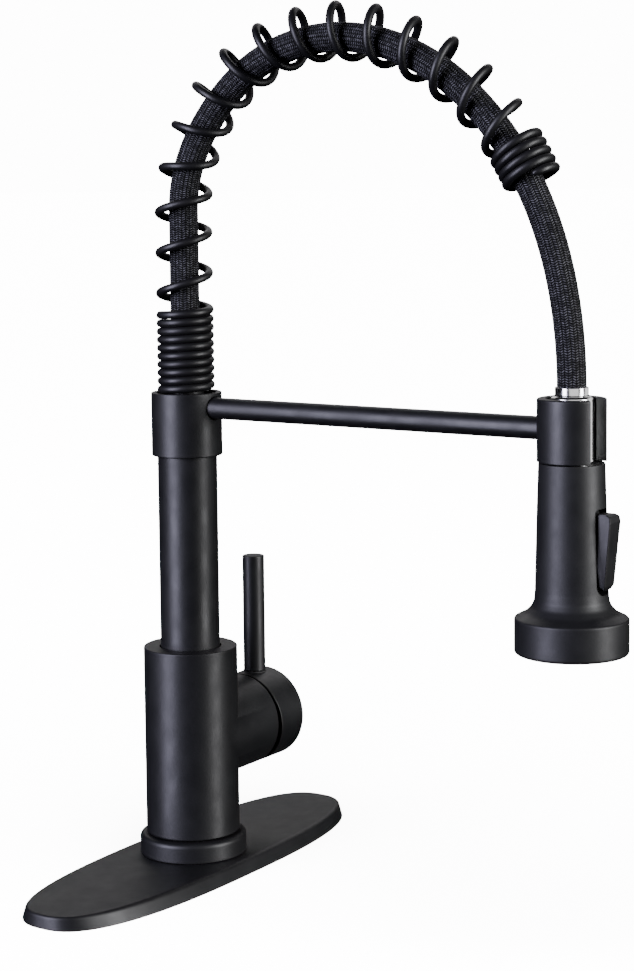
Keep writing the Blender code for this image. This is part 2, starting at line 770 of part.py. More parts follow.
def make_head():
    axis = (0, -REACH, 0)
    groove = 0.0052
    spigot = 0.0068
    turned("swivel_neck", steel("swivel_neck"), [
        (0.0085, 0.2606),
        (0.009, 0.2588),
        (0.0098, 0.2572),
        (0.0104, 0.254),
        (0.0104, HEAD_TOP + GAP),
        (spigot, HEAD_TOP + GAP),
        (spigot, 0.2222),
        (groove, 0.2222),
        (groove, 0.2202),
        (spigot, 0.2202),
        (spigot, 0.2152),
        (groove, 0.2152),
        (groove, 0.2136),
        (spigot, 0.2136),
        (spigot, 0.2122),
        (0.003, 0.2122),
        (0.003, 0.256),
        (0.0042, 0.256),
        (0.0042, HOSE_END - GAP),
        (0.0077, HOSE_END - GAP),
        (0.0077, 0.2606),
    ], axis, steps=24)
    torus("neck_seal", rubber("neck_seal"), (0, -REACH, 0.2212), 0.00615, 0.00065)
    clip = turned("neck_clip", steel("neck_clip"), ring(0.0056, 0.008, 0.2139, 0.2149), axis, steps=COARSE)
    cut(clip, block(
        "neck_clip_gap",
        (-0.0015, -REACH + 0.003, 0.21),
        (0.0015, -REACH + 0.01, 0.22),
    ))

    body = turned("spray_body", black_plastic("spray_body"), [
        (0, HEAD_TOP),
        (0.0152, HEAD_TOP),
        (0.0157, HEAD_TOP - 0.0005),
        (0.0164, 0.2066),
        (0.0173, 0.1686),
        (0.0177, 0.1639),
        (0.019, 0.161),
        (0.0203, 0.1591),
        (0.0219, 0.158),
        (0.0246, 0.157),
        (FLANGE_RADIUS - 0.0005, FLANGE_TOP),
        (FLANGE_RADIUS, FLANGE_TOP - 0.0012),
        (FLANGE_RADIUS, HEAD_BOTTOM + 0.0026),
        (FLANGE_RADIUS - 0.0008, HEAD_BOTTOM + 0.0008),
        (FLANGE_RADIUS - 0.0026, HEAD_BOTTOM),
        (0, HEAD_BOTTOM),
    ], axis)
    recess_floor = 0.0114
    inside = turned("spray_inside", None, [
        (0, 0.2255),
        (0.0108, 0.2255),
        (0.0108, 0.16),
        (0.0238, 0.1532),
        (0.0238, 0.13),
        (0, 0.13),
    ], axis)
    pivot = Vector((0, -REACH - ROCKER_PIVOT_OUT, ROCKER_PIVOT_HEIGHT))
    across = Vector((0.0088, 0, 0))
    recess = block(
        "rocker_recess",
        (-0.0062, -REACH - 0.03, 0.1676),
        (0.0062, -REACH - recess_floor, 0.2084),
    )
    cut(
        body,
        inside,
        hole("spray_mouth", (0, -REACH, 0.22), (0, -REACH, 0.24), spigot + GAP),
        recess,
        hole("spray_pin", pivot - across * 1.02, pivot + across * 1.02, 0.0011, 12),
        hole("spray_spool", (0, -REACH - 0.02, SPOOL_HEIGHT), (0, -REACH - 0.005, SPOOL_HEIGHT), 0.0036, 16),
    )

    core = turned("head_core", white_plastic("head_core"), [
        (0, SPOOL_HEIGHT),
        (0.0024, SPOOL_HEIGHT),
        (0.0024, 0.2058),
        (0.0055, 0.2058),
        (0.0055, 0.2116),
        (0.0084, 0.2116),
        (0.0084, 0.2165),
        (0.0071, 0.2165),
        (0.0071, 0.2252),
        (0.0104, 0.2252),
        (0.0104, 0.1527),
        (0.0232, 0.1527),
        (0.0232, 0.1504),
        (0, 0.1504),
    ], axis, steps=MEDIUM)
    cut(
        core,
        hole(
            "core_spool",
            (0, -REACH - 0.013, SPOOL_HEIGHT),
            (0, -REACH + 0.0092, SPOOL_HEIGHT),
            0.0034,
            16,
        ),
    )
    for name, out in (("spray", -0.0055), ("stream", 0.002)):
        y = -REACH + out
        cut(core, hole(name + "_way", (0, y, 0.149), (0, y, SPOOL_HEIGHT), 0.0022, 12))
    valve = ring(0.002, 0.0052, 0.2062, 0.2112)
    turned("check_valve", black_plastic("check_valve"), valve, axis, steps=COARSE)

    turned("diverter_spool", steel("diverter_spool"), [
        (0, 0.0146),
        (0.0031, 0.0146),
        (0.0031, 0.0062),
        (0.0019, 0.0056),
        (0.0019, 0.0012),
        (0.0031, 0.0006),
        (0.0031, -0.007),
        (0, -0.007),
    ], (0, -REACH, SPOOL_HEIGHT), (math.pi / 2, 0, 0), 16)

    make_rocker(pivot, across)
    make_face(axis)


def make_rocker(pivot, across):
    """A wedge-shaped paddle on a cross pin. It stands proud, and most at its top."""
    outline = [
        (0.0014, 0.0012),
        (0.0014, 0.005),
        (0.003, 0.0182),
        (0.0072, 0.0182),
        (0.0089, 0.0171),
        (0.0094, 0.0145),
        (0.0063, -0.0152),
        (0.0057, -0.0172),
        (0.0042, -0.0182),
        (0.0014, -0.0182),
        (0.0014, -0.0012),
    ]
    for step in range(7):
        angle = -math.pi / 3 - step * (math.pi * 4 / 3) / 6
        outline.append((0.0014 * math.cos(angle), 0.0014 * math.sin(angle)))
    curve = bpy.data.curves.new("rocker_outline", "CURVE")
    curve.dimensions = "2D"
    curve.fill_mode = "BOTH"
    curve.extrude = 0.0057
    spline = curve.splines.new("POLY")
    spline.points.add(len(outline) - 1)
    spline.use_cyclic_u = True
    for place, (out, up) in zip(spline.points, outline):
        place.co = (out, up, 0, 1)
    guide = bpy.data.objects.new("rocker_guide", curve)
    object_collection.objects.link(guide)
    graph = bpy.context.evaluated_depsgraph_get()
    mesh = bpy.data.meshes.new_from_object(guide.evaluated_get(graph))
    bpy.data.objects.remove(guide)
    shape = bmesh.new()
    shape.from_mesh(mesh)
    bmesh.ops.remove_doubles(shape, verts=shape.verts, dist=0.00001)
    bmesh.ops.recalc_face_normals(shape, faces=shape.faces)
    shape.to_mesh(mesh)
    shape.free()
    quarter = math.pi / 2
    paddle = add(mesh, "rocker", black_plastic("rocker"), pivot, Euler((quarter, 0, -quarter)))
    cut(paddle, hole("rocker_pin_way", pivot - across, pivot + across, 0.00105, 12))
    rod("rocker_pin", steel("rocker_pin"), pivot - across, pivot + across, 0.0008, 12)


def make_face(axis):
    turned("face_ring", black_plastic("face_ring"), ring(0.0208, 0.0234, 0.139, 0.1492, 0.0006), axis)
    torus("face_seal", rubber("face_seal"), (0, -REACH, 0.14985), 0.0222, 0.0003, FINE)
    turned("spray_plate", white_plastic("spray_plate"), ring(0.0086, 0.0205, 0.143, 0.1462), axis, steps=24)
    pad = turned("nozzle_pad", rubber("nozzle_pad"), ring(0.0086, 0.0205, 0.1402, 0.1427), axis, steps=24)
    for count, radius in ((8, 0.0115), (14, 0.0168)):
        for place in range(count):
            angle = 2 * math.pi * (place + 0.5) / count
            x = radius * math.cos(angle)
            y = -REACH + radius * math.sin(angle)
            tip = rod("nozzle_%d_%d" % (count, place), None, (x, y, 0.1391), (x, y, 0.1415), 0.0009, 6)
            boolean(pad, tip, "UNION")
    turned("aerator", black_plastic("aerator"), ring(0.0066, 0.0083, 0.1391, 0.1492), axis, steps=24)
    turned("aerator_mesh", steel("aerator_mesh"), [
        (0, 0.142), (0.0063, 0.142), (0.0063, 0.1402), (0, 0.1402),
    ], axis, steps=24)


for leftover in list(bpy.data.objects):
    bpy.data.objects.remove(leftover)
bpy.context.scene.collection.children.link(object_collection)
bpy.context.scene.collection.children.link(cutter_collection)
cutter_collection.hide_render = True
make_base()
make_body()
make_cartridge()
make_handle()
make_spout()
make_hose_and_spring()
make_head()
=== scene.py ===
import json
import math

import bmesh
import bpy
import numpy as np
from mathutils import Matrix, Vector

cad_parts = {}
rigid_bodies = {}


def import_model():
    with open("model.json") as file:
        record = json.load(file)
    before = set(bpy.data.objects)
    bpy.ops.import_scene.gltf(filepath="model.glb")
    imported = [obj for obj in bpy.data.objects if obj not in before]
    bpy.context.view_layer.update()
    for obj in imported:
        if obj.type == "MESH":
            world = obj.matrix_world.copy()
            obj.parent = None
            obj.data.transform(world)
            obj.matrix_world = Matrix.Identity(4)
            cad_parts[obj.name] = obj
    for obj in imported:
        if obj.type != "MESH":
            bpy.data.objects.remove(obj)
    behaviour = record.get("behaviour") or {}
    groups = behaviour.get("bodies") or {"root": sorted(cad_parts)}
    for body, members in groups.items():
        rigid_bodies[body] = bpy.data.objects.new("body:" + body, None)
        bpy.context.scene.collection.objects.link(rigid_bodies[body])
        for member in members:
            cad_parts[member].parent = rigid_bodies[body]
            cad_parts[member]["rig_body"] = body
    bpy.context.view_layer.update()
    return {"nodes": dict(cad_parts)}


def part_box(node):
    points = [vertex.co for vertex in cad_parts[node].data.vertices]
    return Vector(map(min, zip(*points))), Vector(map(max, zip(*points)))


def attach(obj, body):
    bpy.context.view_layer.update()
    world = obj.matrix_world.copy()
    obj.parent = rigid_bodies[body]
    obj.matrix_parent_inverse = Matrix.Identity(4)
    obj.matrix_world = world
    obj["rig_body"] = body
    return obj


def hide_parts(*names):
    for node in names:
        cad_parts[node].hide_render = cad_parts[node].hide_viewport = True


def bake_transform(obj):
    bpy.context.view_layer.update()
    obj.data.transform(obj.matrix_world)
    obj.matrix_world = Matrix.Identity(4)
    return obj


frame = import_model()


# The camera stands in front of the faucet on its left, at about the height of the arch's shoulder.
# The lens is a long one, and the film is shifted down, so the verticals stay almost upright.

camera_place = np.array([-0.9079, -0.6845, 0.3619])
camera_heading = math.radians(-56.435)
camera_pitch = math.radians(5.396)
camera_roll = math.radians(-0.603)
level = np.array([math.cos(camera_heading), math.sin(camera_heading), 0.0])
backward = np.array([
    math.sin(camera_heading) * math.cos(camera_pitch),
    -math.cos(camera_heading) * math.cos(camera_pitch),
    math.sin(camera_pitch),
])
overhead = np.cross(level, -backward)
rightward = math.cos(camera_roll) * level + math.sin(camera_roll) * overhead
upward = math.cos(camera_roll) * overhead - math.sin(camera_roll) * level
lens = bpy.data.cameras.new("camera")
lens.lens = 80.78
lens.sensor_width = 36.0
lens.shift_y = -0.103
camera = bpy.data.objects.new("camera", lens)
camera.matrix_world = Matrix([
    [rightward[i], upward[i], backward[i], camera_place[i]] for i in range(3)
] + [[0.0, 0.0, 0.0, 1.0]])
bpy.context.scene.collection.objects.link(camera)
bpy.context.scene.camera = camera


# The studio: a pale room and three soft boxes. Two tall ones stand either side of the camera and
# draw the two long highlights on every upright tube. One hangs behind and lights the level faces.

def soft_box(name, bearing, height, distance, size, power, colour):
    """A softbox on a circle round the faucet. Bearing is in degrees to the right of the camera."""
    middle = np.array([0.0, -0.11, 0.22])
    towards = camera_place - middle
    start = math.atan2(towards[1], towards[0])
    angle = start + math.radians(bearing)
    place = middle + distance * np.array([math.cos(angle), math.sin(angle), 0.0])
    place[2] = height
    light = bpy.data.lights.new(name, "AREA")
    light.shape = "RECTANGLE"
    light.size, light.size_y = size
    light.energy = power
    light.color = colour
    box = bpy.data.objects.new(name, light)
    aim = place - middle
    aim /= np.linalg.norm(aim)
    side = np.cross([0.0, 0.0, 1.0], aim)
    side /= np.linalg.norm(side)
    lift = np.cross(aim, side)
    box.matrix_world = Matrix([
        [side[i], lift[i], aim[i], place[i]] for i in range(3)
    ] + [[0.0, 0.0, 0.0, 1.0]])
    box.visible_camera = False
    bpy.context.scene.collection.objects.link(box)
    return box


soft_box("left_box", -54, 0.30, 3.0, (1.41, 3.2), 285, (0.79, 0.775, 1.0))
soft_box("right_box", 66, 0.30, 3.0, (1.06, 3.2), 225, (0.98, 0.98, 1.0))
soft_box("rear_box", 178, 1.35, 1.8, (2.4, 1.0), 12, (1.0, 0.98, 1.0))

white_level = 14.0
room = bpy.data.worlds.new("room")
room.use_nodes = True
room_tree = room.node_tree
room_tree.nodes.clear()
seen = room_tree.nodes.new("ShaderNodeBackground")
seen.inputs["Color"].default_value = (1, 1, 1, 1)
seen.inputs["Strength"].default_value = white_level
felt = room_tree.nodes.new("ShaderNodeBackground")
felt.inputs["Color"].default_value = (0.9, 0.94, 1, 1)
felt.inputs["Strength"].default_value = 0.008
which = room_tree.nodes.new("ShaderNodeLightPath")
either = room_tree.nodes.new("ShaderNodeMixShader")
output = room_tree.nodes.new("ShaderNodeOutputWorld")
room_tree.links.new(which.outputs["Is Camera Ray"], either.inputs["Fac"])
room_tree.links.new(felt.outputs[0], either.inputs[1])
room_tree.links.new(seen.outputs[0], either.inputs[2])
room_tree.links.new(either.outputs[0], output.inputs["Surface"])
bpy.context.scene.world = room


# The floor is pale paper that runs on to the horizon. A wide, high light falls on the paper alone,
# so it is as white as the room. The faucet's shadow on it is very faint.

floor_half = 60.0
paper_white, light_share = 0.9, 0.86
floor_mesh = bpy.data.meshes.new("floor")
floor_mesh.from_pydata(
    [(-floor_half, -floor_half, 0), (floor_half, -floor_half, 0),
     (floor_half, floor_half, 0), (-floor_half, floor_half, 0)],
    [], [(0, 1, 2, 3)])
floor = bpy.data.objects.new("floor", floor_mesh)
bpy.context.scene.collection.objects.link(floor)
floor.visible_diffuse = False
floor.visible_glossy = False
paper = bpy.data.materials.new("pale_paper")
paper.use_nodes = True
paper_shader = paper.node_tree.nodes["Principled BSDF"]
paper_shader.inputs["Base Color"].default_value = (paper_white, paper_white, paper_white, 1)
paper_shader.inputs["Roughness"].default_value = 1.0
paper_shader.inputs["Specular IOR Level"].default_value = 0.0
floor_mesh.materials.append(paper)

sky = bpy.data.lights.new("floor_light", "SUN")
sky.angle = math.radians(70)
sky.energy = white_level * math.pi / paper_white / light_share
floor_light = bpy.data.objects.new("floor_light", sky)
floor_light.rotation_euler = (math.radians(14), math.radians(-22), 0)
bpy.context.scene.collection.objects.link(floor_light)
lit = bpy.data.collections.new("lit_by_floor_light")
lit.objects.link(floor)
floor_light.light_linking.receiver_collection = lit


# The deck plate is pressed and folded steel, coated satin black, with a soft edge all round.
# It covers the spare holes in a sink, and the faucet's foot stands in its middle.

def surface(name, grids, material, along=False, caps=False, crease=35.0):
    """One closed mesh from grids of points: each point is joined to the next in its row and column,
    and the last column to the first. along joins the last row to the first, caps closes open ends.
    Its UV map runs 0 to 1 round the columns and 0 to 1 down the rows."""
    points, quads, corners, first = [], [], [], 0
    for grid in grids:
        rows, columns = grid.shape[:2]
        row = np.arange(rows if along else rows - 1)[:, None]
        column = np.arange(columns)[None, :]
        below, beside = (row + 1) % rows, (column + 1) % columns
        square = [row * columns + column, row * columns + beside,
                  below * columns + beside, below * columns + column]
        quads.append(np.stack(square, -1).reshape(-1, 4) + first)
        u = np.stack(np.broadcast_arrays(column, column + 1, column + 1, column), -1) / columns
        v = np.stack(np.broadcast_arrays(row, row, row + 1, row + 1), -1) / max(rows - 1, 1)
        u = np.broadcast_to(u, v.shape[:1] + u.shape[1:])
        v = np.broadcast_to(v, u.shape)
        corners.append(np.stack([u, v], -1).reshape(-1, 2))
        points.append(grid.reshape(-1, 3))
        first += rows * columns
    points, quads, corners = np.concatenate(points), np.concatenate(quads), np.concatenate(corners)
    mesh = bpy.data.meshes.new(name)
    mesh.vertices.add(len(points))
    mesh.vertices.foreach_set("co", points.astype(np.float32).ravel())
    mesh.loops.add(quads.size)
    mesh.loops.foreach_set("vertex_index", quads.astype(np.int32).ravel())
    mesh.polygons.add(len(quads))
    mesh.polygons.foreach_set("loop_start", np.arange(0, quads.size, 4, dtype=np.int32))
    mesh.update(calc_edges=True)
    mesh.uv_layers.new(name="wrap").data.foreach_set("uv", corners.astype(np.float32).ravel())
    joined = bmesh.new()
    joined.from_mesh(mesh)
    bmesh.ops.remove_doubles(joined, verts=joined.verts, dist=1e-7)
    if caps:
        bmesh.ops.holes_fill(joined, edges=[e for e in joined.edges if e.is_boundary], sides=0)
    bmesh.ops.recalc_face_normals(joined, faces=joined.faces)
    joined.to_mesh(mesh)
    joined.free()
    mesh.polygons.foreach_set("use_smooth", np.ones(len(mesh.polygons), dtype=bool))
    mesh.set_sharp_from_angle(angle=math.radians(crease))
    mesh.materials.append(material)
    piece = bpy.data.objects.new(name, mesh)
    bpy.context.scene.collection.objects.link(piece)
    return piece


def stand_for(piece, node):
    """The new piece takes the place and the body of a CAD node, whose own mesh is hidden."""
    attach(piece, frame["nodes"][node]["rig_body"])
    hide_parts(node)
    return piece


def node_group(name, outputs):
    """An empty shader group that takes a Vector and a Size, with its named outputs."""
    tree = bpy.data.node_groups.new(name, "ShaderNodeTree")
    tree.interface.new_socket("Vector", in_out="INPUT", socket_type="NodeSocketVector")
    size = tree.interface.new_socket("Size", in_out="INPUT", socket_type="NodeSocketFloat")
    size.default_value = 1.0
    for output_name in outputs:
        tree.interface.new_socket(output_name, in_out="OUTPUT", socket_type="NodeSocketFloat")
    return tree, tree.nodes.new("NodeGroupInput"), tree.nodes.new("NodeGroupOutput")


def place_node(tree, kind, settings=None, **inputs):
    """A node with its settings, and each input given as a value or as another node's output."""
    node = tree.nodes.new("ShaderNode" + kind)
    for key, value in (settings or {}).items():
        setattr(node, key, value)
    for key, value in inputs.items():
        numbered = key[0] == "i" and key[1:].isdigit()
        socket = node.inputs[int(key[1:]) if numbered else key.replace("_", " ")]
        if isinstance(value, bpy.types.NodeSocket):
            tree.links.new(value, socket)
        else:
            socket.default_value = value
    return node


def number(tree, operation, first, second=0.0):
    """One Math node's result."""
    return place_node(tree, "Math", {"operation": operation}, i0=first, i1=second).outputs[0]


def sized(tree, given):
    """A group's own Vector, scaled by its own Size."""
    return place_node(tree, "VectorMath", {"operation": "SCALE"}, Vector=given.outputs["Vector"],
                      Scale=given.outputs["Size"]).outputs[0]


def ranged(tree, value, low, high, out_low=0.0, out_high=1.0, smooth=False):
    """A value carried from one range to another, and held at its ends."""
    kind = {"interpolation_type": "SMOOTHSTEP" if smooth else "LINEAR"}
    node = place_node(tree, "MapRange", kind, i0=value, i1=low, i2=high, i3=out_low, i4=out_high)
    return node.outputs[0]


def noise(tree, vector, scale, detail, roughness=0.5):
    """Smooth noise, 0 to 1, with about scale waves to the metre."""
    node = place_node(tree, "TexNoise", None, Vector=vector, Scale=scale, Detail=detail,
                      Roughness=roughness)
    return node.outputs["Fac"]


def coat_grain_group():
    """The baked powder coat. Height is its fine orange peel and finer specks, Tone a slow drift of
    depth of colour with sparse pale grains, and Rough a slow change of sheen."""
    tree, given, result = node_group("coat_grain", ("Tone", "Rough", "Height"))
    vector = sized(tree, given)
    peel = noise(tree, vector, 1500, 2)
    speck = noise(tree, vector, 5200, 2)
    drift = noise(tree, vector, 38, 3)
    pale = ranged(tree, speck, 0.66, 0.76, smooth=True)
    tone = number(tree, "ADD", number(tree, "MULTIPLY", drift, 0.5),
                  number(tree, "MULTIPLY", pale, 0.6))
    height = number(tree, "ADD", peel, number(tree, "MULTIPLY", speck, 0.7))
    tree.links.new(tone, result.inputs["Tone"])
    tree.links.new(ranged(tree, noise(tree, vector, 90, 4), 0.3, 0.7), result.inputs["Rough"])
    tree.links.new(height, result.inputs["Height"])
    return tree


def finish(name, group, colours, roughness, depth, size=1.0, metallic=0.0, **constants):
    """A material. The group's Tone runs between two colours, its Rough between two roughnesses,
    and its Height becomes a bump of the given depth in metres."""
    material = bpy.data.materials.new(name)
    material.use_nodes = True
    tree = material.node_tree
    shader = tree.nodes["Principled BSDF"]
    place = tree.nodes.new("ShaderNodeTexCoord")
    pattern = tree.nodes.new("ShaderNodeGroup")
    pattern.node_tree = group
    pattern.inputs["Size"].default_value = size
    tree.links.new(place.outputs["Object"], pattern.inputs["Vector"])
    blend = place_node(tree, "Mix", {"data_type": "RGBA"}, i0=pattern.outputs["Tone"])
    blend.inputs[6].default_value = (*colours[0], 1)
    blend.inputs[7].default_value = (*colours[1], 1)
    tree.links.new(blend.outputs[2], shader.inputs["Base Color"])
    sheen = ranged(tree, pattern.outputs["Rough"], 0.0, 1.0, *roughness)
    tree.links.new(sheen, shader.inputs["Roughness"])
    bump = place_node(tree, "Bump", None, Height=pattern.outputs["Height"], Distance=depth,
                      Strength=0.6)
    tree.links.new(bump.outputs[0], shader.inputs["Normal"])
    shader.inputs["Metallic"].default_value = metallic
    for key, value in constants.items():
        shader.inputs[key.replace("_", " ")].default_value = value
    return material


coat_grain = coat_grain_group()
satin_black = finish("satin_black_coat", coat_grain,
                     ((0.0035, 0.0035, 0.0042), (0.0085, 0.0085, 0.0095)), (0.44, 0.52), 0.00004)


def rounded(corners, radii, arc_points=5, keep=0.0004):
    """A closed outline whose corners are arcs that touch both their sides. A point just outside each
    end of an arc keeps the flats flat when the shading is smooth. Corners on the axis stay sharp."""
    corners = np.array(corners, float)
    radii = np.broadcast_to(np.array(radii, float), len(corners))
    into = corners - np.roll(corners, 1, 0)
    leave = np.roll(corners, -1, 0) - corners
    into_length = np.linalg.norm(into, axis=1)
    leave_length = np.linalg.norm(leave, axis=1)
    into = into / into_length[:, None]
    leave = leave / leave_length[:, None]
    turn = np.arctan2(into[:, 0] * leave[:, 1] - into[:, 1] * leave[:, 0], (into * leave).sum(1))
    half = np.tan(np.abs(turn) / 2)
    reach = np.minimum(radii * half, 0.45 * np.minimum(into_length, leave_length))
    radius = reach / np.maximum(half, 1e-9)
    inward = np.sign(turn)[:, None] * np.stack([-into[:, 1], into[:, 0]], 1)
    angle = np.abs(turn)[:, None, None] * np.linspace(0, 1, arc_points)[None, :, None]
    centre = corners - into * reach[:, None] + inward * radius[:, None]
    swing = into[:, None] * np.sin(angle) - inward[:, None] * np.cos(angle)
    arc = centre[:, None] + radius[:, None, None] * swing
    before = reach + np.minimum(keep, 0.3 * (into_length - reach - np.roll(reach, 1)))
    after = reach + np.minimum(keep, 0.3 * (leave_length - reach - np.roll(reach, -1)))
    lead = (corners - into * before[:, None])[:, None]
    trail = (corners + leave * after[:, None])[:, None]
    outline = np.concatenate([lead, arc, trail], 1).reshape(-1, 2)
    if corners[0, 0] == 0 and corners[-1, 0] == 0:
        outline = outline[1:-1]
    return outline


def oval(stations, columns=256):
    """Rows of superellipses: each station is half-length, half-width, roundness and height.
    x is a·|cos t|^(2/n) and y is b·|sin t|^(2/n), each with its own sign."""
    half_length, half_width, roundness, height = (s[:, None] for s in np.array(stations, float).T)
    t = 2 * np.pi * (np.arange(columns) + 0.5)[None, :] / columns
    power = 2 / roundness
    x = half_length * np.sign(np.cos(t)) * np.abs(np.cos(t)) ** power
    y = half_width * np.sign(np.sin(t)) * np.abs(np.sin(t)) ** power
    return np.stack([x, y, np.broadcast_to(height, x.shape)], -1)


plate_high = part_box("deck_plate")[1]
plate_top = plate_high.z
plate_wall = 0.0016
plate_mouth = 0.0168
plate_end_draft, plate_side_draft, plate_roundness = 0.0004, 0.00416, 2.65
flat_reach = 0.010
inset, level_up = rounded(
    [(0, 0), (0, plate_top), (flat_reach, plate_top), (flat_reach, plate_top - plate_wall),
     (plate_wall, plate_top - plate_wall), (plate_wall, 0)],
    [0.0003, 0.0014, 0, 0, 0.0006, 0.0002], 6).T
at_mouth = inset > flat_reach - 1e-6
climb = level_up / plate_top
deck_plate = surface("deck_plate_shell", [oval(np.stack([
    np.where(at_mouth, plate_mouth, plate_high.x - plate_end_draft * climb - inset),
    np.where(at_mouth, plate_mouth, plate_high.y - plate_side_draft * climb - inset),
    np.where(at_mouth, 2.0, plate_roundness),
    level_up], 1))], satin_black, along=True)
stand_for(deck_plate, "deck_plate")


# Under the plate: a plastic backing, the cast foot that clamps the body, its seal and two inlet
# tubes. They keep their machined shapes, and each gets the finish of its own stuff.

def turned_metal_group():
    """Cut metal. Tone is a faint cloud of tarnish with fine scratches, Rough streaks that follow the
    lathe, and Height the tool's fine grooves, which run round as level rings."""
    tree, given, result = node_group("turned_metal", ("Tone", "Rough", "Height"))
    vector = sized(tree, given)
    parted = place_node(tree, "SeparateXYZ", None, Vector=vector)
    rings = place_node(tree, "CombineXYZ", None, X=number(tree, "MULTIPLY", parted.outputs[0], 0.04),
                       Y=number(tree, "MULTIPLY", parted.outputs[1], 0.04),
                       Z=parted.outputs[2]).outputs[0]
    groove = noise(tree, rings, 3200, 2)
    cloud = noise(tree, vector, 140, 4)
    scratch = ranged(tree, noise(tree, rings, 900, 5, 0.7), 0.55, 0.72)
    tone = number(tree, "ADD", number(tree, "MULTIPLY", cloud, 0.7),
                  number(tree, "MULTIPLY", scratch, 0.3))
    tree.links.new(tone, result.inputs["Tone"])
    tree.links.new(ranged(tree, groove, 0.3, 0.7), result.inputs["Rough"])
    tree.links.new(groove, result.inputs["Height"])
    return tree


def moulded_group():
    """Moulded stuff. Tone is slow flow marks and a few darker flecks, Rough the uneven shine of the
    mould, and Height its fine spark-worn texture."""
    tree, given, result = node_group("moulded", ("Tone", "Rough", "Height"))
    vector = sized(tree, given)
    flow = place_node(tree, "TexNoise", None, Vector=vector, Scale=60.0, Detail=3.0,
                      Distortion=1.5).outputs["Fac"]
    fleck = ranged(tree, noise(tree, vector, 2600, 1), 0.68, 0.78, smooth=True)
    spark = noise(tree, vector, 3000, 3, 0.6)
    tone = number(tree, "ADD", number(tree, "MULTIPLY", flow, 0.7),
                  number(tree, "MULTIPLY", fleck, 0.4))
    tree.links.new(tone, result.inputs["Tone"])
    tree.links.new(ranged(tree, flow, 0.35, 0.65), result.inputs["Rough"])
    tree.links.new(spark, result.inputs["Height"])
    return tree


turned_metal = turned_metal_group()
moulded = moulded_group()
cast_brass = finish("cut_brass", turned_metal, ((0.62, 0.43, 0.17), (0.47, 0.31, 0.12)),
                    (0.24, 0.42), 0.00002, metallic=1.0)
bright_steel = finish("bright_steel", turned_metal, ((0.62, 0.61, 0.60), (0.46, 0.45, 0.45)),
                      (0.16, 0.34), 0.00002, metallic=1.0)
black_nylon = finish("black_nylon", moulded, ((0.012, 0.012, 0.013), (0.024, 0.024, 0.025)),
                     (0.5, 0.62), 0.00003)
white_acetal = finish("white_acetal", moulded, ((0.74, 0.73, 0.69), (0.62, 0.61, 0.57)),
                      (0.34, 0.46), 0.00002, Subsurface_Weight=0.0)
soft_rubber = finish("soft_rubber", moulded, ((0.016, 0.016, 0.017), (0.04, 0.04, 0.041)),
                     (0.62, 0.8), 0.00004, 0.7)
fired_ceramic = finish("fired_ceramic", moulded, ((0.80, 0.79, 0.76), (0.70, 0.69, 0.66)),
                       (0.12, 0.2), 0.000008, 2.0)


def give(material, *names):
    """Puts a material in every slot of the named CAD nodes."""
    for node_name in names:
        for slot in frame["nodes"][node_name].material_slots:
            slot.material = material


give(black_nylon, "deck_backing")
give(satin_black, "mounting_base")
give(bright_steel, "inlet_tube_cold", "inlet_tube_hot")


# The base ring is turned brass under the same black coat. It screws down over the plate's mouth,
# and the body stands in it on a thin seal, which shows as a dark line.

def turned(name, profile, material, axis_at=(0, 0), turns=128):
    """A lathe-turned surface: the profile's radii and heights carried once round the upright axis
    that stands at axis_at."""
    radius, up = (p[:, None] for p in np.array(profile, float).T)
    angle = 2 * np.pi * np.arange(turns)[None, :] / turns
    one, two = radius * np.cos(angle), radius * np.sin(angle)
    grid = np.stack([one + axis_at[0], two + axis_at[1], np.broadcast_to(up, one.shape)], -1)
    closed = profile[0][0] > 0 or profile[-1][0] > 0
    return surface(name, [grid], material, along=closed)


ring_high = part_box("base_ring")[1]
ring_bore, ring_foot = 0.0210, 0.0073
base_ring = turned("base_ring_turned", rounded(
    [(ring_bore, ring_foot), (ring_high.x, ring_foot), (ring_high.x, ring_high.z),
     (ring_bore, ring_high.z)],
    [0.0003, 0.0004, 0.0026, 0.0005], 7), satin_black)
stand_for(base_ring, "base_ring")
give(soft_rubber, "base_seal")


# The body is one brass casting, turned outside and coated satin black: an upright barrel with a
# level arm of the same thickness, which meets it in a mitre. The arm's bore takes the valve.

body_low, body_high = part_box("body_shell")
barrel, bore, top_wall, mouth = 0.0247, 0.0210, 0.005, 0.0161
arm_radius, arm_bore, arm_end, arm_floor = 0.02468, 0.0196, body_high.x, 0.0238
valve_height, clear_of_barrel = 0.0681, 0.030
quarter_columns = 48
lean = np.pi * (np.arange(2 * quarter_columns + 1) / (2 * quarter_columns) - 0.5)
front_side = arm_radius * np.sin(lean)
front_rise = arm_radius * np.cos(lean)
front_angle = np.arcsin(front_side / barrel)
back_angle = np.linspace(front_angle[-1], 2 * np.pi + front_angle[0], 2 * quarter_columns + 1)[1:-1]
barrel_angle = np.concatenate([front_angle, back_angle])
gap_half = np.concatenate([front_rise, np.zeros(len(back_angle))])
gap_half[[0, 2 * quarter_columns]] = 0
body_section = rounded(
    [(mouth, body_high.z), (mouth, body_high.z - top_wall), (bore, body_high.z - top_wall),
     (bore, body_low.z), (barrel, body_low.z), (barrel, body_high.z)],
    [0.0005, 0.0003, 0.0008, 0.0004, 0.0005, 0.0006], 6)
split = int(np.argmax((body_section[:, 0] > barrel - 1e-6) & (body_section[:, 1] > valve_height)))
rows_before = body_section[:split]
rows_after = body_section[split:]


def barrel_rows(section):
    """The rows of a profile carried round the barrel's own columns."""
    return np.stack([section[:, :1] * np.cos(barrel_angle), section[:, :1] * np.sin(barrel_angle),
                     np.broadcast_to(section[:, 1:], (len(section), len(barrel_angle)))], -1)


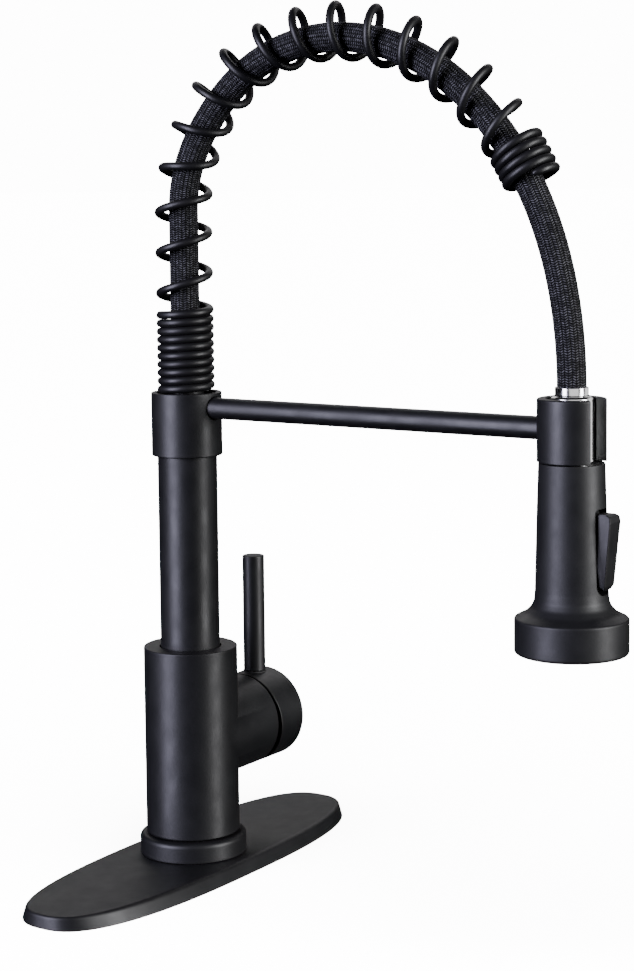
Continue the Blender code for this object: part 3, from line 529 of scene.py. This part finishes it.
def mitre_row(side):
    """The edge where barrel and arm meet, above or below the arm."""
    return np.stack([barrel * np.cos(barrel_angle), barrel * np.sin(barrel_angle),
                     valve_height + side * gap_half], -1)[None]


lower_skin = np.concatenate([barrel_rows(rows_before), mitre_row(-1)])
upper_skin = np.concatenate([mitre_row(1), barrel_rows(rows_after), barrel_rows(body_section[:1])])
round_arm = np.concatenate([lean, lean[1:-1] + np.pi])
arm_y = arm_radius * np.sin(round_arm)
arm_y[2 * quarter_columns] = front_side[-1]
arm_y[0] = front_side[0]
arm_start = np.sqrt(np.maximum(barrel ** 2 - arm_y ** 2, 0))
arm_section = rounded(
    [(arm_radius, 0.0), (arm_radius, arm_end), (arm_bore, arm_end), (arm_bore, arm_floor),
     (0, arm_floor)],
    [0, 0.0006, 0.0004, 0.0004, 0], 5)
arm_section = arm_section[np.argmax(arm_section[:, 1] > clear_of_barrel):]
arm_section = arm_section[:int(np.argmax(arm_section[:, 0] <= 0)) + 1]
arm_rows = np.stack([np.broadcast_to(arm_section[:, 1:], (len(arm_section), len(round_arm))),
                     arm_section[:, :1] * np.sin(round_arm),
                     valve_height + arm_section[:, :1] * np.cos(round_arm)], -1)
arm_root = np.stack([arm_start, arm_y, valve_height + arm_radius * np.cos(round_arm)], -1)[None]
body_skin = surface("body_skin", [lower_skin, upper_skin, np.concatenate([arm_root, arm_rows])],
                    satin_black)
stand_for(body_skin, "body_shell")
give(white_acetal, "swivel_bush", "cartridge_body")
give(bright_steel, "bush_clip", "stem", "stem_pin")
give(cast_brass, "valve_block", "cartridge_nut")
give(soft_rubber, "cartridge_seal")
give(fired_ceramic, "fixed_disc", "moving_disc")
give(black_nylon, "stem_carrier")


# The handle is a short turned cap of the arm's own thickness, which screws to the cartridge's stem
# and stands off the arm by a thin wedge of a gap. A straight rod screws into its top for a lever.

cap_low, cap_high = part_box("handle_cap")
cap_radius, cap_room, cap_floor, cap_wedge = 0.0247, 0.0205, 0.054, 0.0049
cap_well, cap_well_floor, cap_face, cap_columns = 0.0085, 0.0622, 0.002, 160
cap_section = rounded(
    [(0, cap_high.x), (cap_radius, cap_high.x), (cap_radius, cap_low.x), (cap_room, cap_low.x),
     (cap_room, cap_floor), (cap_well, cap_well_floor), (0, cap_well_floor)],
    [0, 0.0012, 0.0005, 0.0003, 0.0006, 0.0006, 0], 6)
cap_turn = 2 * np.pi * np.arange(cap_columns)[None, :] / cap_columns
cap_r, cap_x = cap_section[:, :1], cap_section[:, 1:]
cap_z = cap_r * np.cos(cap_turn)
mouth_shift = cap_wedge * (0.5 - cap_z / (2 * cap_radius))
from_mouth = np.clip((cap_high.x - cap_face - cap_x) / (cap_high.x - cap_face - cap_low.x), 0, 1)
cap_grid = np.stack([cap_x + mouth_shift * from_mouth, cap_r * np.sin(cap_turn),
                     valve_height + cap_z], -1)
handle_cap = surface("handle_cap_turned", [cap_grid], satin_black)
stand_for(handle_cap, "handle_cap")

lever_low, lever_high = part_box("lever_rod")
lever_place = ((lever_low.x + lever_high.x) / 2, 0)
lever_radius = (lever_high.x - lever_low.x) / 2
seat_height, stud_radius, washer_bore = 0.0931, 0.0028, 0.0031
lever_rod = turned("lever_rod_turned", rounded(
    [(0, lever_low.z), (stud_radius, lever_low.z), (stud_radius, seat_height),
     (lever_radius, seat_height),
     (lever_radius, lever_high.z), (0, lever_high.z)],
    [0, 0.0003, 0.0002, 0.0003, 0.0007, 0], 5), satin_black, lever_place, 64)
stand_for(lever_rod, "lever_rod")
washer_low, washer_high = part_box("lever_washer")
lever_washer = turned("lever_washer_ring", rounded(
    [(washer_bore, washer_low.z), (washer_high.x - lever_place[0], washer_low.z),
     (washer_high.x - lever_place[0], washer_high.z), (washer_bore, washer_high.z)], 0.0002),
    soft_rubber, lever_place, 64)
stand_for(lever_washer, "lever_washer")
give(bright_steel, "cap_screw")
give(black_nylon, "screw_plug")


# The riser is drawn brass tube, coated like the body. It turns in the body's acetal bush, on two
# seals, and a dark gap shows where it goes into the body's mouth.

riser_low, riser_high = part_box("riser_tube")
riser_bore = 0.0132
riser_tube = turned("riser_tube_drawn", rounded(
    [(riser_bore, riser_low.z), (riser_high.x, riser_low.z), (riser_high.x, riser_high.z),
     (riser_bore, riser_high.z)],
    0.0004), satin_black)
stand_for(riser_tube, "riser_tube")
give(cast_brass, "riser_foot")
give(soft_rubber, "riser_seal_upper", "riser_seal_lower")


# The collar is a turned sleeve, held on the riser by a set screw. It carries the side arm in a
# drilled hole with a small countersink, and the spring stands on its top.

collar_low, collar_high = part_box("collar")
collar_radius = collar_high.x
side_arm_low, side_arm_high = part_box("support_arm")
side_arm_radius = (side_arm_high.x - side_arm_low.x) / 2
side_arm_height = (side_arm_low.z + side_arm_high.z) / 2
collar_mouth = 0.0100
collar_inside = 0.0159
recess_radius, recess_height = 0.01555, 0.24965
collar_lip, near_half, near_rows = 0.0037, 0.0068, 64
countersink_margin, countersink_slope, countersink_depth = 0.0006, 0.0005, 0.0016
collar_section = rounded(
    [(recess_radius, recess_height), (collar_mouth, recess_height),
     (collar_mouth, collar_high.z - collar_lip), (collar_inside, collar_high.z - collar_lip),
     (collar_inside, collar_low.z), (collar_radius, collar_low.z),
     (collar_radius, side_arm_height - near_half), (collar_radius, side_arm_height + near_half),
     (collar_radius, collar_high.z), (recess_radius, collar_high.z)],
    [0.0003, 0.0003, 0.0003, 0.0004, 0.0004, 0.0006, 0, 0, 0.0006, 0.0004], 6)
near_arm = (collar_section[:, 0] > collar_radius - 1e-6) & (
    np.abs(collar_section[:, 1] - side_arm_height) < near_half + 1e-6)
first_near = int(np.argmax(near_arm))
last_near = len(near_arm) - int(np.argmax(near_arm[::-1])) - 1
fine_rows = np.linspace(side_arm_height - near_half, side_arm_height + near_half, near_rows)
collar_section = np.concatenate([
    collar_section[:first_near], np.stack([np.full(near_rows, collar_radius), fine_rows], 1),
    collar_section[last_near + 1:]])
fine_angle = np.radians(np.linspace(-24, 24, 81)) - np.pi / 2
wide_angle = np.radians(np.linspace(24, 336, 105)[1:-1]) - np.pi / 2
collar_angle = np.concatenate([fine_angle, wide_angle])
collar_r, collar_z = collar_section[:, :1], collar_section[:, 1:]
collar_x = collar_r * np.cos(collar_angle)
from_arm = np.hypot(collar_x, collar_z - side_arm_height)
drill = np.clip((side_arm_radius + countersink_margin - from_arm) / countersink_slope, 0, 1)
facing = (np.sin(collar_angle) < 0)[None, :] & (collar_r > collar_radius - 1e-4)
drilled = collar_r - np.where(facing, countersink_depth * drill * drill * (3 - 2 * drill), 0)
collar = surface("collar_turned", [np.stack([
    drilled * np.cos(collar_angle), drilled * np.sin(collar_angle),
    np.broadcast_to(collar_z, drilled.shape)], -1)], satin_black, along=True)
stand_for(collar, "collar")
give(bright_steel, "collar_screw")
give(satin_black, "spring_spigot", "hose_sleeve_lower")


# The side arm is a plain coated rod, pressed into the collar at one end and the dock at the other.
# The dock is a turned cup with a slot down its front, which the hose slips through.

arm_ring = rounded([(0, side_arm_low.y), (side_arm_radius, side_arm_low.y),
                    (side_arm_radius, side_arm_high.y), (0, side_arm_high.y)],
                   [0, 0.0004, 0.0004, 0], 4)
rod_turn = 2 * np.pi * np.arange(64)[None, :] / 64
support_arm = surface("support_arm_rod", [np.stack([
    arm_ring[:, :1] * np.cos(rod_turn), np.broadcast_to(arm_ring[:, 1:], (len(arm_ring), 64)),
    side_arm_height + arm_ring[:, :1] * np.sin(rod_turn)], -1)], satin_black)
stand_for(support_arm, "support_arm")

dock_low, dock_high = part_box("dock")
head_y = -0.2246
dock_bore, slot_half = 0.0120, 0.0085
dock_section = rounded(
    [(dock_bore, dock_low.z - 0.0004), (dock_high.x, dock_low.z - 0.0004), (dock_high.x, dock_high.z),
     (dock_bore, dock_high.z)],
    [0.0004, 0.0004, 0.0009, 0.0008], 6)
dock_r, dock_z = dock_section[:, :1], dock_section[:, 1:]
ease = np.array([0, 0.0006, 0.0025])
round_share = np.concatenate([ease, np.linspace(0.008, 0.992, 120), 1 - ease[::-1]])[None, :]
slot_angle = np.arcsin(slot_half / dock_r)
dock_angle = -np.pi / 2 + slot_angle + round_share * (2 * np.pi - 2 * slot_angle)
dock = surface("dock_cup", [np.stack([
    dock_r * np.cos(dock_angle), head_y + dock_r * np.sin(dock_angle),
    np.broadcast_to(dock_z, dock_angle.shape)], -1).swapaxes(0, 1)], satin_black, caps=True)
stand_for(dock, "dock")


# The hose is a rubber tube in a sleeve of braided black nylon. It rises out of the riser inside the
# spring, follows the arch a little inside it, and drops into the swivel neck of the spray head.

bend_start, bend_radius, even_bend, opening_bend = 0.3469, 0.0859, 0.0627, 0.3203
end_bend = 2 * (math.pi - even_bend / bend_radius) / opening_bend - 1 / bend_radius
arch_step = 0.00005
arch_length = bend_start + even_bend + opening_bend
arch_at = np.arange(0, arch_length + 0.02, arch_step)
past_bend = np.clip(arch_at + arch_step / 2 - bend_start, 0, even_bend + opening_bend)
past_even = np.clip(past_bend - even_bend, 0, opening_bend)
arch_lean = past_bend / bend_radius + (end_bend - 1 / bend_radius) * past_even ** 2 / (2 * opening_bend)
arch_y = -np.concatenate([[0], np.cumsum(np.sin(arch_lean))[:-1]]) * arch_step
arch_z = np.concatenate([[0], np.cumsum(np.cos(arch_lean))[:-1]]) * arch_step


def smooth(share):
    """A share held between 0 and 1, with an even start and stop: 3s² - 2s³."""
    held = np.clip(share, 0, 1)
    return held * held * (3 - 2 * held)


arch_drift = 0.0014
arch_y -= arch_drift * smooth((arch_at - bend_start) / even_bend) * smooth(
    (arch_length - arch_at) / (2 * even_bend))


def along_arch(distance):
    """Points on the arch at the given distances from the deck, and the unit vectors out of its bend.
    The arch is straight, then bends evenly, then opens, so its lean is the running sum of its bend."""
    y, z = np.interp(distance, arch_at, arch_y), np.interp(distance, arch_at, arch_z)
    lean_there = np.interp(distance, arch_at, arch_lean)
    nothing = np.zeros_like(y)
    return np.stack([nothing, y, z], 1), np.stack([nothing, np.cos(lean_there), np.sin(lean_there)], 1)


def swept(path, side, radius, sides):
    """A round section carried along a path. side points across the path, and radius is an array, or
    a grid with one value for each point of the surface."""
    forward = np.gradient(path, axis=0)
    forward /= np.linalg.norm(forward, axis=1)[:, None]
    first = side - (side * forward).sum(1)[:, None] * forward
    first /= np.linalg.norm(first, axis=1)[:, None]
    second = np.cross(forward, first)
    angle = 2 * np.pi * np.arange(sides)[None, :, None] / sides
    radius = np.broadcast_to(np.asarray(radius)[..., None] if np.ndim(radius) == 2
                             else np.asarray(radius)[:, None, None], (len(path), sides, 1))
    return path[:, None] + radius * (first[:, None] * np.cos(angle) + second[:, None] * np.sin(angle))


def braid_group():
    """A braid of black yarn from a UV map that runs round the hose and along it. Ribs of slanting
    stitches lie side by side, mirrored in pairs, with a groove between them. Tone is a painted
    highlight: a pale sheen painted on the crown of each stitch, stronger and weaker in random
    patches. Rough is highest in the grooves, and Height is the yarn."""
    tree, given, result = node_group("braid", ("Tone", "Rough", "Height"))
    parted = place_node(tree, "SeparateXYZ", None, Vector=given.outputs["Vector"])
    around = number(tree, "MULTIPLY", parted.outputs[0], hose_ribs)
    across = number(tree, "MULTIPLY", number(tree, "ABSOLUTE", number(
        tree, "SUBTRACT", number(tree, "FRACT", around), 0.5)), 2.0)
    run = number(tree, "ADD", number(tree, "MULTIPLY", parted.outputs[1], hose_stitches),
                 number(tree, "MULTIPLY", across, 0.75))
    wander = noise(tree, place_node(tree, "TexCoord").outputs["Object"], 900, 2)
    run = number(tree, "ADD", run, number(tree, "MULTIPLY", wander, 0.35))
    stitch = number(tree, "SINE", number(tree, "MULTIPLY", number(tree, "FRACT", run), math.pi))
    groove = ranged(tree, across, 0.8, 1.0, smooth=True)
    crown = ranged(tree, stitch, 0.72, 0.97, smooth=True)
    column = number(tree, "ABSOLUTE", number(tree, "SUBTRACT", across, 0.5))
    middle = ranged(tree, column, 0.22, 0.46, 1.0, 0.0, smooth=True)
    # Random patches that make the painted highlight on the stitch crowns stronger or weaker.
    sheen_patchiness = noise(tree, place_node(tree, "TexCoord").outputs["Object"], 420, 3)
    patch = ranged(tree, sheen_patchiness, 0.42, 0.62)
    # Painted highlight: the crowns of the stitches are painted paler, as if lit, in those patches.
    pale = number(tree, "MULTIPLY", number(tree, "MULTIPLY", crown, middle), number(
        tree, "ADD", number(tree, "MULTIPLY", patch, 0.75), 0.25))
    height = number(tree, "MULTIPLY", stitch, number(tree, "SUBTRACT", 1.0, groove))
    tree.links.new(pale, result.inputs["Tone"])
    tree.links.new(groove, result.inputs["Rough"])
    tree.links.new(height, result.inputs["Height"])
    return tree


hose_ribs, hose_stitches, hose_radius, hose_sides, hose_rows = 12, 480, 0.0076, 96, 900
hose_start, hose_tail, hose_bore = 0.2413, 0.0172, 0.0046
hose_sag, hose_taper, rib_groove = 0.0029, 0.0006, 0.00028
# The second colour is the painted highlight on the stitch crowns, not a colour of the yarn.
braid = finish("braided_nylon", braid_group(), ((0.0014, 0.0014, 0.0017), (0.15, 0.15, 0.165)),
               (0.55, 0.85), 0.0004, Specular_IOR_Level=0.15)
braid_tree = braid.node_tree
for link in list(braid_tree.links):
    if link.from_node.type == "TEX_COORD":
        braid_tree.links.new(link.from_node.outputs["UV"], link.to_socket)
hose_share = np.linspace(0, 1, hose_rows)
bend_total = even_bend + opening_bend
hose_length = bend_start - hose_start + bend_total + hose_tail
hose_run = hose_share * hose_length
hose_path, hose_out = along_arch(hose_start + hose_run)
bend_share = np.clip((hose_run - (bend_start - hose_start)) / bend_total, 0, 1)
sag = hose_sag * smooth(bend_share / 0.2) * smooth((1 - bend_share) / 0.4)
hose_path = hose_path - hose_out * sag[:, None]
hose_radius = hose_radius - hose_taper * bend_share
rib_place = np.abs((np.arange(hose_sides) / hose_sides * hose_ribs) % 1 - 0.5) * 2
rib_height = hose_radius[:, None] - rib_groove * np.clip((rib_place - 0.6) / 0.4, 0, 1) ** 2
hose_outer = swept(hose_path, hose_out, rib_height, hose_sides)
hose_inner = swept(hose_path[::8], hose_out[::8], np.full(len(hose_path[::8]), hose_bore), hose_sides)
hose = surface("hose_braided", [np.concatenate([hose_outer, hose_inner[::-1]])], braid,
               along=True, crease=60)
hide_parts("hose")
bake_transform(hose)


# The spring is one coated steel wire: ten closed turns that stand on the collar, fifteen open ones
# round the arch, and four and a half closed ones at its end, where the wire is cut and rounded.

wire_radius, coil_radius, end_coil_radius, tight_pitch = 0.00212, 0.0129, 0.0122, 0.0043
seat_turns, open_turns, end_turns, per_turn = 10, 15, 4.5, 56
coil_seat = 0.252
open_from = coil_seat + seat_turns * tight_pitch
open_reach, first_turn, tip_rows = 0.2624, 0.323, 6
open_to = bend_start + open_reach
all_turns = seat_turns + open_turns + end_turns
turn_at = np.linspace(0, all_turns, int(all_turns * per_turn) + 1)
coil_along = np.interp(turn_at, [0, seat_turns, seat_turns + open_turns, all_turns],
                       [coil_seat, open_from, open_to, open_to + end_turns * tight_pitch])
ease_width = 31
eased = np.convolve(np.pad(coil_along, ease_width // 2, "reflect", reflect_type="odd"),
                    np.ones(ease_width) / ease_width, "valid")
coil_middle, coil_out = along_arch(eased)
coil_angle = 2 * np.pi * (turn_at - first_turn)[:, None]
coil_side = coil_out * np.cos(coil_angle) + np.array([[-1.0, 0, 0]]) * np.sin(coil_angle)
narrowed = smooth((turn_at - seat_turns - open_turns + 2) / 3)[:, None]
coil_path = coil_middle + (coil_radius + (end_coil_radius - coil_radius) * narrowed) * coil_side
wire = np.full(len(turn_at), wire_radius)
wire[:tip_rows] = wire_radius * np.sqrt(np.clip(1 - (1 - np.arange(tip_rows) / tip_rows) ** 2, 0, 1))
wire[-tip_rows:] = wire[:tip_rows][::-1]
spring = surface("spring_wire", [swept(coil_path, coil_side, wire, 18)], satin_black)
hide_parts("spring")
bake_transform(spring)


# The swivel neck is turned and polished steel: a crimped ferrule grips the hose, and a skirt below
# it sits in the dock. The head hangs from it and turns freely on a snap ring and an O-ring.

neck_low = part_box("swivel_neck")[0]
polished = finish("polished_steel", turned_metal, ((0.66, 0.66, 0.66), (0.48, 0.48, 0.48)),
                  (0.10, 0.26), 0.00001, metallic=1.0)
swivel_neck = turned("swivel_neck_turned", rounded(
    [(0.0080, 0.2606), (0.0091, 0.2604), (0.0101, 0.2596), (0.0104, 0.2575), (0.0104, 0.2293),
     (0.0068, 0.2293), (0.0068, 0.2222), (0.0052, 0.2222), (0.0052, 0.2202), (0.0068, 0.2202),
     (0.0068, 0.2152), (0.0052, 0.2152), (0.0052, 0.2136), (0.0068, 0.2136), (0.0068, neck_low.z),
     (0.003, neck_low.z), (0.003, 0.256), (0.0042, 0.256), (0.0042, 0.2453), (0.0077, 0.2453),
     (0.0077, 0.2606)],
    [0.0002, 0.0008, 0.001, 0.0012] + [0.0003] * 17, 4), polished, (0, head_y), 96)
stand_for(swivel_neck, "swivel_neck")
sleeve_low, sleeve_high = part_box("hose_sleeve_upper")
ferrule_bore, ferrule_radius, ferrule_lap = 0.0072, 0.0079, 0.0004
ferrule = turned("ferrule_crimped", rounded(
    [(ferrule_bore, sleeve_low.z - ferrule_lap), (ferrule_radius, sleeve_low.z - ferrule_lap),
     (ferrule_radius, sleeve_high.z), (ferrule_bore, sleeve_high.z)],
    [0.0001, 0.0002, 0.0003, 0.0002], 5), polished, (0, head_y), 96)
stand_for(ferrule, "hose_sleeve_upper")
lit_steel = bpy.data.collections.new("lit_by_steel_cards")
lit_steel.objects.link(swivel_neck)
lit_steel.objects.link(ferrule)
for card in (soft_box("steel_card_front", 12, 0.5, 1.2, (1.5, 1.2), 9, (1.0, 1.0, 1.0)),
             soft_box("steel_card_side", 112, 0.4, 1.2, (0.9, 1.2), 6, (1.0, 1.0, 1.0))):
    card.light_linking.receiver_collection = lit_steel
give(soft_rubber, "neck_seal", "face_seal")
give(bright_steel, "neck_clip", "rocker_pin", "diverter_spool", "aerator_mesh")
give(white_acetal, "head_core")
give(black_nylon, "check_valve")


# The spray head is moulded in black ABS with a satin face: a slim tapered barrel that flares into a
# wide flange. A recess down its front holds the rocker, with a fine shadow line all round it.

moulded_satin = finish("satin_black_abs", coat_grain,
                       ((0.0038, 0.0038, 0.0044), (0.009, 0.009, 0.010)), (0.48, 0.56), 0.00003, 1.2)
spray_low, spray_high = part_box("spray_body")
pivot_y, pivot_z = -0.2378, 0.188
flange = spray_high.x
spray_outline = rounded(
    [(0.0071, spray_high.z), (0.0071, 0.2255), (0.0108, 0.2255), (0.0108, 0.16), (0.0238, 0.1532),
     (0.0238, spray_low.z), (flange, spray_low.z), (flange, 0.1555), (0.0219, 0.158), (0.019, 0.161),
     (0.0177, 0.1639), (0.0173, 0.1686), (0.0164, 0.2066), (0.0157, spray_high.z)],
    [0.0003, 0.0003, 0.0003, 0.001, 0.0006, 0.0003, 0.0029, 0.0013, 0.008, 0.006, 0.006, 0.004,
     0.05, 0.0005], 7)
recess_low, recess_high, recess_half, recess_floor = 0.1676, 0.2084, 0.0062, 0.0114
round_above, round_below = 0.0022, 0.0048
outer_first = int(np.argmax(spray_outline[:, 0] > 0.0242))
outer = spray_outline[outer_first:]
inner = spray_outline[:outer_first]
recess_share = np.linspace(0, 1, 41)
recess_rows = recess_low + (recess_high - recess_low) * (0.5 - 0.5 * np.cos(np.pi * recess_share))
order = np.argsort(outer[:, 1], kind="stable")
recess_r = np.interp(recess_rows, outer[order, 1], outer[order, 0])
below_recess = outer[outer[:, 1] < recess_low - 1e-5]
above_recess = outer[outer[:, 1] > recess_high + 1e-5]
recess_band = np.stack([recess_r, recess_rows], 1)
spray_rows = np.concatenate([
    below_recess, recess_band[:1], recess_band, recess_band[-1:], above_recess, inner])
sunk = np.concatenate([np.zeros(len(below_recess) + 1), np.ones(len(recess_band)),
                       np.zeros(len(spray_rows) - len(below_recess) - 1 - len(recess_band))]) > 0
spray_r, spray_z = spray_rows[:, :1], spray_rows[:, 1:]
recess_round = np.where(spray_z < pivot_z, round_below, round_above)
to_end = np.minimum(np.minimum(spray_z - recess_low, recess_high - spray_z).clip(0), recess_round)
half_there = recess_half - (recess_round - np.sqrt(recess_round ** 2 - (recess_round - to_end) ** 2))
half_there = np.minimum(half_there, 0.9 * spray_r)
floor_share = np.linspace(-1, 1, 25)[None, :]
floor_x = half_there * floor_share
skin_x = np.concatenate([-half_there, floor_x, half_there], 1)
skin_y = -np.sqrt(np.maximum(spray_r ** 2 - skin_x ** 2, 0))
floor_columns = np.zeros(skin_x.shape[1], bool)
floor_columns[1:-1] = True
sunk_here = sunk[:, None] & floor_columns[None, :]
skin_y = np.where(sunk_here, -recess_floor, skin_y)
edge_angle = np.arcsin(np.clip(half_there / spray_r, 0, 1))
rest_share = np.linspace(0, 1, 122)[None, 1:-1]
rest_angle = -np.pi / 2 + edge_angle + rest_share * (2 * np.pi - 2 * edge_angle)
spray_grid = np.stack([
    np.concatenate([skin_x, spray_r * np.cos(rest_angle)], 1),
    head_y + np.concatenate([skin_y, spray_r * np.sin(rest_angle)], 1),
    np.broadcast_to(spray_z, (len(spray_rows), skin_x.shape[1] + rest_share.shape[1]))], -1)
spray_body = surface("spray_body_moulded", [spray_grid], moulded_satin, along=True)
stand_for(spray_body, "spray_body")


# The rocker is a moulded paddle on a steel cross pin. It stands proud at its top, where it is
# pressed for spray, and is flush at its foot; its corners are rounded in front view.

rocker_half, paddle_half, edge_round = 0.0182, 0.0057, 0.00045
rocker_outline = rounded(
    [(0.0014, rocker_half), (0.0070, rocker_half), (0.0089, 0.0171), (0.0094, 0.0145),
     (0.0063, -0.0158), (0.0052, -rocker_half), (0.0014, -rocker_half), (0.0014, -0.0016),
     (0.0006, -0.0021), (-0.0012, -0.0008), (-0.0012, 0.0008),
     (0.0006, 0.0021), (0.0014, 0.0016)],
    [0.0003, 0.0012, 0.0014, 0.0020, 0.0024, 0.0016, 0.0003] + [0.0004] * 6, 6)
out, up = rocker_outline[:, 0][None, :], rocker_outline[:, 1][None, :]
width_share = np.array([-1, -0.985, -0.955, -0.9, -0.5, 0, 0.5, 0.9, 0.955, 0.985, 1])[:, None]
corner = np.array([0.0, 0.00025, 0.0004] + [edge_round] * 5 + [0.0004, 0.00025, 0.0])[:, None]
end_round = np.where(up < 0, 0.0052, 0.0024)
to_tip = np.minimum(rocker_half - np.abs(up), end_round).clip(0)
half_width = paddle_half - (end_round - np.sqrt(end_round ** 2 - (end_round - to_tip) ** 2)) * 0.85
shrink = edge_round - corner
rocker_grid = np.stack([
    half_width * width_share,
    pivot_y - (out - shrink * np.clip(out / 0.004, -1, 1)) + 0 * width_share,
    pivot_z + up - shrink * np.clip(up / 0.004, -1, 1) + 0 * width_share], -1)
rocker = surface("rocker_paddle", [rocker_grid], moulded_satin, caps=True)
stand_for(rocker, "rocker")


# The face closes the head from below: a screwed ring, a rubber pad whose nubs are the spray holes,
# the plate behind it, and an aerator with its mesh in the middle.

face_low, face_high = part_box("face_ring")
face_bore, face_radius = 0.0208, 0.0234
face_ring = turned("face_ring_turned", rounded(
    [(face_bore, face_low.z), (face_radius, face_low.z), (face_radius, face_high.z),
     (face_bore, face_high.z)], 0.0005, 5),
    moulded_satin, (0, head_y))
stand_for(face_ring, "face_ring")
give(soft_rubber, "nozzle_pad")
give(black_nylon, "spray_plate", "aerator")
